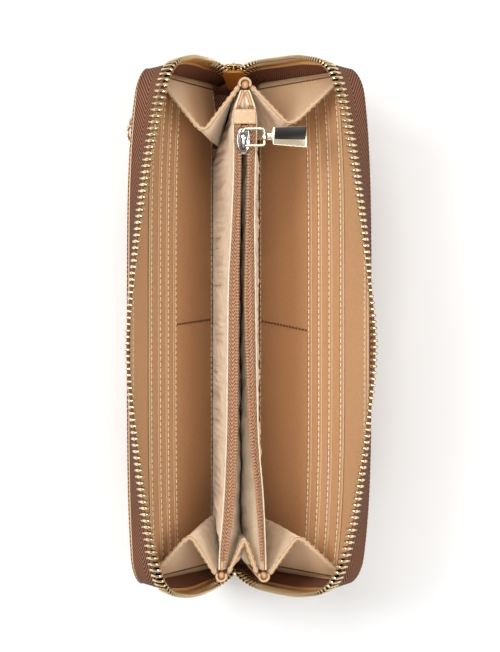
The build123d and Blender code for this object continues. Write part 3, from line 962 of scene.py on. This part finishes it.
def binding(name, foot, top, radius, way, wall_t=0.75):
    """A leather strip folded round the gusset's end, open to one side in plan."""
    foot, top = Vector(foot), Vector(top)
    rows = []
    for t in np.linspace(0, 1, 40):
        c = foot.lerp(top, t)
        r = radius * (0.8 + 0.2 * t)
        row = []
        for a in np.linspace(-118, 118, 25):
            g = math.radians(a) + way
            row.append((c.x + r * math.cos(g), c.y + r * math.sin(g), c.z))
        rows.append(row)
    body = thick(name, rows, -wall_t, edge_leather)
    mid = radius - wall_t / 2
    turns = [math.radians(a) + way for a in np.linspace(-118, 118, 31)]
    rim_path = [(top.x + mid * math.cos(g), top.y + mid * math.sin(g), top.z) for g in turns]
    core = [tuple(foot.lerp(top, t) - Vector((0, 0, 1.8 * t))) for t in np.linspace(0, 1, 12)]
    thin = radius - wall_t - 0.25
    core = tube(name + "_core", core, (1, 0, 0), thin, thin, smooth_leather, 16)
    rim_bead = tube(name + "_rim", rim_path, (0, 0, 1), 0.5, wall_t / 2 + 0.12, edge_leather, 10)
    seam = []
    for a in (-75, 75):
        g = math.radians(a) + way
        path = []
        for t in np.linspace(0.03, 0.98, 40):
            c, r = foot.lerp(top, t), radius * (0.8 + 0.2 * t) + 0.02
            path.append((c.x + r * math.cos(g), c.y + r * math.sin(g), c.z))
        seam.append(stitches("binding_seam", path, (math.cos(g), math.sin(g), 0), SEAM_PITCH))
    return [body, rim_bead, core] + seam


def pouch_lining():
    """The pouch's own satin bag, which narrows to a fold above the spine."""
    left, right = plan_curve(LEFT_TOP, 120), plan_curve(RIGHT_TOP, 120)
    grid = []
    for (xl, y), (xr, _) in zip(left, right):
        xl, xr = xl + 1.0, xr - 1.0
        fold = 2.3 + 0.25 * math.sin(y * 0.2)
        row = []
        for s in np.linspace(0, 1, 23):
            t = 1 - s
            rip = 0.25 * math.sin(math.pi * s) * math.sin(y * 0.7 + 5 * s)
            row.append((fold + (xl - fold) * t**3 + rip, y, 6.0 + 78.2 * t))
        for s in np.linspace(0, 1, 23)[1:]:
            rip = 0.25 * math.sin(math.pi * s) * math.sin(y * 0.62 - 6 * s)
            row.append((fold + 0.3 + (xr - fold - 0.3) * s**3 + rip, y, 6.0 + 78.2 * s))
        grid.append(row)
    return thick("pouch_lining", grid, 0.3, satin)


def build_posts():
    parts = binding("front_binding", (1.6, 92.2, 3.2), (4.3, 92.8, 86.6), 2.45, math.radians(90))
    parts += binding(
        "left_binding", (-2.2, -95.6, 3.2), (-4.8, -95.9, 86.2), 2.2, math.radians(-90)
    )
    parts += binding(
        "right_binding", (4.9, -95.6, 3.2), (11.6, -95.9, 86.2), 2.2, math.radians(-90)
    )
    joined("corner_bindings", parts, "spine", ["end_posts"])
    # gathered satin between the front binding and the tab
    grid = []
    for y in np.linspace(90.6, 81.5, 26):
        reach = np.interp(y, [81.5, 85, 90.6], [3.7, 3.4, 1.7])
        row = []
        for s in np.linspace(-1, 1, 25):
            fold = 0.9 * math.sin(s * 9 + y * 0.5) * (1 - abs(s) ** 3)
            dip = -2.2 * (1 - s * s)
            row.append((4.25 + s * reach, y, 84.3 + dip + fold))
        grid.append(row)
    folds = thick("gathered_satin", grid, -0.4, satin)
    floor = soft_box("pouch_base", (9.0, 126, 0.4), (0.3, -5, 3.3), satin, 0.1)
    ends = soft_box("pouch_base_ends", (4.6, 176, 0.4), (1.0, -4, 3.75), satin, 0.1)
    joined("pouch_satin", [folds, floor, ends, pouch_lining()], "spine", ["pouch_floor"])


# ---- gussets

GUSSETS = {
    "front_left": (((-2.6, 91.6), (-6.9, 72.4)), ((1.9, 92.0), (-11.9, 74.0)), -1, 97.3),
    "front_right": (((5.2, 91.4), (8.2, 75.0)), ((6.7, 92.0), (21.6, 76.6)), 1, 97.3),
    "back_left": (((-4.5, -94.9), (-7.2, -75.0)), ((-7.0, -95.2), (-16.9, -80.0)), -1, -97.3),
    "back_right": (((7.0, -94.8), (8.2, -76.0)), ((13.8, -95.2), (24.7, -80.3)), 1, -97.3)
}


def rounded_vee(a, b, c, soft=0.16):
    """A folded line in plan with a small radius at its fold."""
    a, b, c = Vector(a), Vector(b), Vector(c)
    p, q = b.lerp(a, soft), b.lerp(c, soft)
    out = [a.lerp(p, s) for s in np.linspace(0, 1, 12, endpoint=False)]
    out += [blend_line(p, b, q, s) for s in np.linspace(0, 1, 9, endpoint=False)]
    out += [q.lerp(c, s) for s in np.linspace(0, 1, 12)]
    return out


def gusset_grid(a0, b0, a1, b1, end, wrinkle, seed):
    rows = []
    for t in np.linspace(0, 1, 40):
        z = 3.4 + (GUSSET_TOP - 3.4) * t
        a = Vector((*a0, z)).lerp(Vector((*a1, z)), t)
        b = Vector((*b0, z)).lerp(Vector((*b1, z)), t)
        c = end(t, z)
        row = rounded_vee(a, b, c)
        n = len(row)
        out = []
        for k, p in enumerate(row):
            s = k / (n - 1)
            away = math.sin(math.pi * s)
            lift = wrinkle * away * math.sin(
                z * 0.55 + 4 * s + seed
            ) * math.sin(7 * s + seed + 0.06 * z)
            lift += 0.6 * wrinkle * away * math.sin(z * 1.1 - 6 * s + 2 * seed)
            out.append((p, lift))
        rows.append(out)
    base = [[p for p, _ in r] for r in rows]
    g, n = grid_normals(base)
    for i, r in enumerate(rows):
        for j, (_, lift) in enumerate(r):
            g[i, j] += n[i, j] * lift
    return g


def offset_grid(g, d):
    _, n = grid_normals(g)
    return g + n * d


def build_gusset(name):
    (a0, b0), (a1, b1), side, y_end = GUSSETS[name]
    open_end = 1 if y_end > 0 else -1

    def end(t, z):
        v = (z - HINGE_Z) / math.cos(OPEN[side])
        p = on_cover(side, y_end, v, 2.45)
        return Vector((p.x, p.y, z))

    lay(name, gusset_grid(a0, b0, a1, b1, end, 0.0, 1.0), side, open_end)


def lay(name, mid, side, open_end):
    _, n = grid_normals(mid)
    sign = 1 if n[20, 5][1] * open_end > 0 else -1
    # the end side is leather and the compartment side satin
    # The leather side takes the lit gusset leather, painted lighter in place of light.
    leather = thick("leather", offset_grid(mid, sign * 0.04), sign * 0.5, gusset_lit_leather)
    soft = offset_grid(mid, -sign * 0.04)
    rows, cols = soft.shape[:2]
    _, sn = grid_normals(soft)
    for i in range(rows):
        for j in range(cols):
            s, t = j / (cols - 1), i / (rows - 1)
            away = math.sin(math.pi * s) * math.sin(math.pi * min(t, 0.93) / 0.93)
            wave = 0.5 + 0.5 * math.sin(t * 40 + 5 * math.sin(6 * s))
            soft[i, j] -= sign * sn[i, j] * away * wave * 0.5
    lining = thick("satin", soft, -sign * 0.45, satin)
    top = [Vector(p) for p in mid[-1]]
    edge = tube("edge", even(top, 70), (0, 0, 1), 0.8, 0.66, edge_leather, 12)
    seams = []
    for s, off in ((sign, 0.64), (-sign, 0.60)):
        row = offset_grid(mid, s * off)[-1]
        out = grid_normals(mid)[1][-1]
        path = even([p - Vector((0, 0, 1.15)) for p in map(Vector, row)], 70)
        ups = even([tuple(s * c for c in v) for v in out], 70)
        seams.append(edge_stitches("rim_seam", path, ups, SEAM_PITCH))
    end_line = offset_grid(mid, sign * 0.6)[1:-2, -2]
    outs = grid_normals(mid)[1][1:-2, -2] * sign
    seams.append(edge_stitches("hem_seam", end_line, outs, 2.8, dark_thread_and_shade, 1.5))
    half_row = offset_grid(mid, sign * 0.6)[1, 22:-2]
    half_out = grid_normals(mid)[1][1, 22:-2] * sign
    seams.append(edge_stitches("foot_seam", half_row, half_out, SEAM_PITCH))
    outside = [leather] + seams[:1] + seams[2:] + [edge]
    inside = [lining] + seams[1:2]
    for kind, parts, slot in (("leather", outside, "tan_leather"), ("satin", inside, "satin")):
        label = "gusset_" + kind
        ob = joined(label + "_sewn_" + name, parts, None, [label + "_" + name])
        if name == "pouch":
            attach(ob, "spine")
        else:
            near = {"front_left": -2, "front_right": 6, "back_left": -7, "back_right": 13}[name]
            far = side * (20 if side < 0 else 27)
            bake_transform(ob, "spine", WORD[side] + "_cover", (near * MM, 0, 0), (far * MM, 0, 0))


def edge_stitches(name, path, ups, pitch, material=None, fat=1.2):
    count = max(int(length_of(path) / pitch), 1)
    p, t, u, _ = frames_along(even(path, 2 * count + 1), even(ups, 2 * count + 1))
    spots = [(p[i], t[i], u[i], (pitch * 0.7, fat, fat)) for i in range(1, 2 * count, 2)]
    return repeated(name, spots, STITCH, material or thread)


def build_gussets():
    for name in GUSSETS:
        build_gusset(name)

    def pouch_end(t, z):
        return Vector((2 + (8.8 - 2) * t, -93.2 + (-94.6 + 93.2) * t, z))

    lay(
        "pouch",
        gusset_grid((-0.8, -93.2), (1, -84), (-2, -94.6), (4.2, -81.5), pouch_end, 0.0, 2.0),
        0,
        -1
    )


# ---- hardware


def slider_frame():
    """The main slider's own axes: X across, Y the way it travels, Z outwards and down."""
    s, c = math.sin(SLIDER_LEAN), math.cos(SLIDER_LEAN)
    z, y = Vector((0, c, -s)), Vector((0, s, c))
    x = Vector((-1, 0, 0))
    turn = Matrix((x, y, z)).transposed()
    return at_place(-0.5, 98.6, 8.6) @ turn.to_4x4()


def circle(middle, x, y, r, count):
    """Points round a circle in the plane of the unit ways x and y."""
    turns = np.linspace(0, 2 * math.pi, count + 1)[:-1]
    return [middle + Vector(x) * r * math.cos(a) + Vector(y) * r * math.sin(a) for a in turns]


def at_place(*place):
    return Matrix.Translation(Vector(place) * MM)


def moved(ob, matrix):
    ob.data.transform(matrix)
    return ob


def round_outline(points, steps=5, soft=0.25):
    """A closed outline with every corner rounded."""
    out = []
    n = len(points)
    for k in range(n):
        a, b, c = (Vector((*points[(k + d) % n], 0)) for d in (-1, 0, 1))
        p = b + (a - b) * min(soft, 0.45)
        q = b + (c - b) * min(soft, 0.45)
        out += [tuple(blend_line(p, b, q, s).xy) for s in np.linspace(0, 1, steps)]
    return out


def build_main_slider():
    frame_m = slider_frame()
    shield = [
        (-1.5, -0.4), (-2.8, 0.9), (-3.3, 4.5), (-4.6, 11.0), (-2.6, 12.0), (2.6, 12.0),
        (4.6, 11.0), (3.3, 4.5), (2.8, 0.9), (1.5, -0.4)
    ]
    outline = round_outline(shield, 4, 0.3)
    parts = []
    for z, m in ((-1.75, amber), (1.75, gold)):
        p = plate("plate", outline, 0.9, m, 0.22)
        parts.append(moved(p, frame_m @ at_place(0, 0, z)))
    wedge = round_outline([(-1.3, 8.4), (0, 6.6), (1.3, 8.4), (0, 11.4)], 3, 0.2)
    post = plate("post", wedge, 2.7, bright_gold, 0.25)
    parts.append(moved(post, frame_m))
    # turned-in side flanges that hold the chain
    for s in (-1, 1):
        for z in (-1.35, 1.35):
            path = [(s * 2.7, 0.4, z), (s * 3.05, 4.5, z), (s * 4.2, 10.6, z)]
            parts.append(
                moved(
                    tube("flange", smooth_line(path, 20), (0, 0, 1), 0.42, 0.28, gold, 8), frame_m
                )
            )
    joined("main_slider_cast", parts, "main_slider", ["main_slider_body"])
    arch = smooth_line(
        [
            (0, 2.0, 2.1), (0, 2.2, 4.4), (0, 3.4, 5.1), (0, 5.6, 5.25), (0, 8.0, 5.1),
            (0, 9.1, 4.4), (0, 9.2, 2.1)
        ],
        40
    )
    bridge = moved(tube("bridge", arch, (1, 0, 0), 0.85, 0.42, gold, 12), frame_m)
    joined("main_slider_arch", [bridge], "main_slider", ["main_slider_bridge"])
    # the hanging pull: a bar with two arms and a long plate
    at = frame_m @ (Vector((0, 7.9, 3.4)) * MM)
    loop = [
        (-2.45, 0, -5.4), (-2.45, 0, -0.8), (-1.9, 0, 0), (1.9, 0, 0), (2.45, 0, -0.8),
        (2.45, 0, -5.4)
    ]
    wire = tube("wire", smooth_line(loop, 50), (0, 1, 0), 0.48, 0.48, gold, 10)
    tag = round_outline(
        [(-2.9, -4.5), (2.9, -4.5), (2.6, -11.9), (0, -12.1), (-2.6, -11.9)], 4, 0.2
    )
    tag = plate("tag", tag, 1.1, gold, 0.3)
    tag.data.transform(Matrix.Rotation(math.radians(90), 4, "X"))
    moved(tag, at_place(0, 0.75, 0))
    up = Matrix.Translation(at)
    joined("main_pull_piece", [moved(wire, up), moved(tag, up)], "main_pull", ["main_pull"])


def build_tails():
    """Closed ends of the zip tape, stitched to the spine."""
    rows = [(95.6, 2.6, 7.6), (97.6, 8.6, 5.9), (99.6, 12.8, 3.2)]
    line = smooth_line([(y, z, w) for y, z, w in rows], 24)
    grid = [
        [(-0.5 + s * w, y, z + 0.2 * math.cos(3 * s)) for s in np.linspace(-1, 1, 12)]
        for y, z, w in line
    ]
    front = thick("tail", grid, 0.5, zip_cloth, uv=True)
    line = smooth_line([(-98.4, 3.6, 7.6), (-99.2, 6.0, 6.2), (-99.7, 7.6, 5.0)], 20)
    grid = [[(s * w, y, z) for s in np.linspace(-1, 1, 12)] for y, z, w in line]
    back = thick("tail", grid, 0.5, zip_cloth, uv=True)
    laid = []
    for low, high in ((73.0, 100.4), (-98.5, -75.0)):
        flat = [
            [(x, y, 2.55 + 0.1 * math.sin(y + x)) for x in np.linspace(-9.0, 9.0, 14)]
            for y in np.linspace(low, high, 24)
        ]
        laid.append(thick("laid_tail", flat, 0.4, zip_cloth, uv=True))
    flat = [
        [(x, y, 1.5) for x in np.linspace(-11.6, 11.6, 12)] for y in np.linspace(98.4, 100.4, 4)
    ]
    laid.append(thick("laid_end", flat, 0.4, zip_cloth, uv=True))
    joined("zip_tail_piece", [front, back] + laid, "spine", ["zip_tail"])
    stop = soft_box("zip_bottom_stop_piece", (4.4, 1.6, 3.6), (0, -101.0, 12.0), gold, 0.45)
    joined("zip_bottom_stop_piece", [stop], "spine", ["zip_bottom_stop"])


def build_coin_slider():
    at = at_place(3.7, 71, 0) @ Matrix.Rotation(math.radians(0.5), 4, "Z")
    drop = [
        (-1.9, 4.6), (1.9, 4.6), (2.55, 0.6), (2.5, -2.6), (0.9, -5.2), (-0.9, -5.2), (-2.5, -2.6),
        (-2.55, 0.6)
    ]
    drop = round_outline(drop, 4, 0.35)
    top = plate("top", drop, 0.8, chrome, 0.3)
    under = plate("under", [(x * 0.75, y * 0.95) for x, y in drop], 0.8, chrome, 0.25)
    parts = [moved(top, at @ at_place(0, 0, 88.15)), moved(under, at @ at_place(0, 0, 85.3))]
    core = soft_box("core", (0.9, 1.8, 2.3), (0, -3.2, 86.7), chrome, 0.3)
    parts.append(moved(core, at))
    crown = smooth_line(
        [
            (0, -4.6, 88.4), (0, -3.6, 89.3), (0, -1.8, 90.1), (0, 0.2, 90.75), (0, 1.2, 90.9),
            (0, 2.3, 90.6), (0, 3.2, 89.6), (0, 3.9, 88.4)
        ],
        40
    )
    parts.append(moved(tube("crown", crown, (1, 0, 0), 1.15, 0.42, chrome, 14), at))
    for s in (-1, 1):
        cheek = smooth_line(
            [
                (s * 1.9, 3.8, 88.3), (s * 2.2, 0.4, 88.75), (s * 1.9, -2.8, 88.6),
                (s * 0.5, -4.9, 88.4)
            ],
            30
        )
        parts.append(moved(tube("cheek", cheek, (0, 0, 1), 0.45, 0.4, chrome, 8), at))
    joined("coin_slider_piece", parts, "coin_slider", ["coin_slider_body"])
    y0, z0, x0, x1 = 72.2, 89.8, 3.7, 11.7
    ring = [
        (x0, y0 - 2.3), (x0 + 0.5, y0 - 3.15), (x0 + 2, y0 - 3.2), (x1 - 0.9, y0 - 3.2),
        (x1, y0 - 2.4), (x1, y0), (x1, y0 + 2.4), (x1 - 0.9, y0 + 3.2), (x0 + 2, y0 + 3.2),
        (x0 + 0.5, y0 + 3.15), (x0, y0 + 2.3), (x0, y0)
    ]
    loop = smooth_line([(x, y, z0) for x, y in ring + ring[:1]], 90)[:-1]
    wire = tube("bail", loop, (0, 0, 1), 0.55, 0.55, bright_gold, 12, closed=True)
    joined("coin_bail_piece", [wire], "coin_bail", ["coin_bail"])
    eye = circle(Vector((x1, y0, z0)), (1, 0, 0), (0, 0, 1), 1.1, 32)
    parts = [tube("eye", eye, (0, 1, 0), 1.25, 0.36, bright_gold, 12, closed=True)]
    neck = round_outline(
        [(0.9, -1.3), (2.6, -1.1), (4.2, -2.9), (4.2, 2.9), (2.6, 1.1), (0.9, 1.3)], 7, 0.25
    )
    parts.append(moved(plate("neck", neck, 1.1, bright_gold, 0.1), at_place(x1, y0, z0)))
    body = round_outline([(3.2, -3.0), (16.1, -4.1), (16.1, 4.1), (3.2, 3.6)], 7, 0.05)
    parts.append(moved(plate("tag", body, 1.2, bright_gold, 0.2), at_place(x1, y0, z0)))
    # The black plate on the pull's face is a painted reflection of dark surroundings in the gold, not a real
    # part of the pull.
    face = round_outline([(3.9, -0.9), (15.8, -1.1), (16.0, 3.95), (3.9, 3.5)], 4, 0.04)
    parts.append(moved(plate("inlay", face, 0.3, painted_reflection_black, 0.1), at_place(x1, y0, z0 + 0.62)))
    joined("coin_pull_piece", parts, "coin_pull", ["coin_pull"])


def plain_cover(y, v, w):
    """A place by the left cover, straight, as its joints lie."""
    s, c = math.sin(OPEN[-1]), math.cos(OPEN[-1])
    return Vector((-(HINGE_X + v * s - w * c), y, HINGE_Z + v * c + w * s))


def build_side_ring():
    nrm = cover_normal(-1)
    v = 89.0
    grid = []
    for y in np.linspace(84.2, 76.9, 16):
        skin = bow(-1, y, v)
        w = (skin - 0.15 if y > 82 else np.interp(y, [76.9, 82], [-1.35, skin - 0.15])) - 0.05
        wide = np.interp(y, [76.9, 78.4, 84.2], [0.9, 2.4, 2.5])
        grid.append([plain_cover(y, v + s * wide, w) for s in np.linspace(-1, 1, 10)])
    strap = thick("strap", grid, -0.7, edge_leather)
    seam = [plain_cover(83.0, v + s, bow(-1, 83, v) - 0.98) for s in np.linspace(-2, 2, 9)]
    out = tuple(-c for c in nrm)
    parts = [strap, stitches("strap_seam", seam, out, 1.9, thread, 0.7, 1.1)]
    joined("side_tab_piece", parts, "left_cover", ["side_tab"])
    up = cover_up(-1)
    eye = circle(plain_cover(76.2, v, -1.75), nrm, up, 1.05, 32)
    eye = tube("eye", eye, (0, 1, 0), 0.5, 0.3, gold, 10, closed=True)
    joined("side_tab_eye_piece", [eye], "left_cover", ["side_tab_eye"])
    ring = circle(plain_cover(73.8, v, -1.75), (0, 1, 0), up, 2.4, 48)
    ring = tube("ring", ring, tuple(nrm), 0.5, 0.5, gold, 14, closed=True)
    joined("side_ring_piece", [ring], "side_ring", ["side_ring"])


def dress(names, material):
    """CAD nodes whose shape is right take a finish as they are."""
    for n in names:
        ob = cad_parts[n]
        ob.data.materials.clear()
        ob.data.materials.append(material)


# ---- set


def studio_sky(t, back):
    """Soft white sky with darker bands low down, so that metal has something to mirror."""
    co = t.nodes.new("ShaderNodeTexCoord")
    part = t.nodes.new("ShaderNodeSeparateXYZ")
    ramp = t.nodes.new("ShaderNodeValToRGB")
    t.links.new(co.outputs["Generated"], part.inputs["Vector"])
    t.links.new(part.outputs["Z"], ramp.inputs["Fac"])
    t.links.new(ramp.outputs["Color"], back.inputs["Color"])
    bands = ((0.0, 0.55), (0.35, 0.75), (0.5, 0.12), (0.66, 0.15), (0.78, 1.0), (0.96, 0.55))
    stops = ramp.color_ramp.elements
    while len(stops) < len(bands):
        stops.new(0.5)
    for stop, (at, grey) in zip(stops, bands):
        stop.position = at
        stop.color = (grey, grey * 0.99, grey * 0.97, 1)


def build_set():
    bpy.ops.mesh.primitive_plane_add(size=6, location=(0, 0, -0.0003))
    floor = bpy.context.object
    floor.name = "floor"
    white = principled("floor_white", (0.93, 0.93, 0.93), 0.9)
    floor.data.materials.append(white)
    world = bpy.data.worlds.new("studio")
    bpy.context.scene.world = world
    world.use_nodes = True
    back = world.node_tree.nodes["Background"]
    back.inputs["Strength"].default_value = 0.68
    studio_sky(world.node_tree, back)
    for name, place, size, power in (
        ("left", (-0.48, 0.20, 1.03), 0.45, 7.0),
        ("right", (0.42, -0.08, 1.10), 0.45, 4.6),
        ("far", (-0.05, 0.50, 1.25), 0.35, 3.6),
        ("near", (0.0, -0.50, 1.25), 0.35, 3.2),
    ):
        data = bpy.data.lights.new(name, "AREA")
        data.size = size
        data.energy = power
        lamp = in_scene(name, data)
        lamp.location = place
        aim = Vector((0, 0, 0.05)) - Vector(place)
        lamp.rotation_euler = aim.to_track_quat("-Z", "Y").to_euler()
    cam = bpy.data.cameras.new("camera")
    cam.sensor_fit = "VERTICAL"
    cam.sensor_height = 36
    cam.lens = 157.4
    ob = in_scene("camera", cam)
    ob.location = (0.0062, 0, 1.178)
    bpy.context.scene.camera = ob
    bpy.context.scene.view_settings.view_transform = "Standard"


# ---- build

build_set()
build_spine()
for side in (-1, 1):
    build_covers(side)
    tape, row = build_zip(side)
    for piece in (tape, row):
        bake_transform(piece, "spine", WORD[side] + "_cover", (0, 0, 0.017), (0, 0, 0.036))
build_pouch()
build_posts()
build_gussets()
build_tails()
build_main_slider()
build_coin_slider()
build_side_ring()
dress(["spine_board"], grain_leather)
dress(["side_clasp"], gold)
for ob in PATTERNS:
    bpy.data.objects.remove(ob)
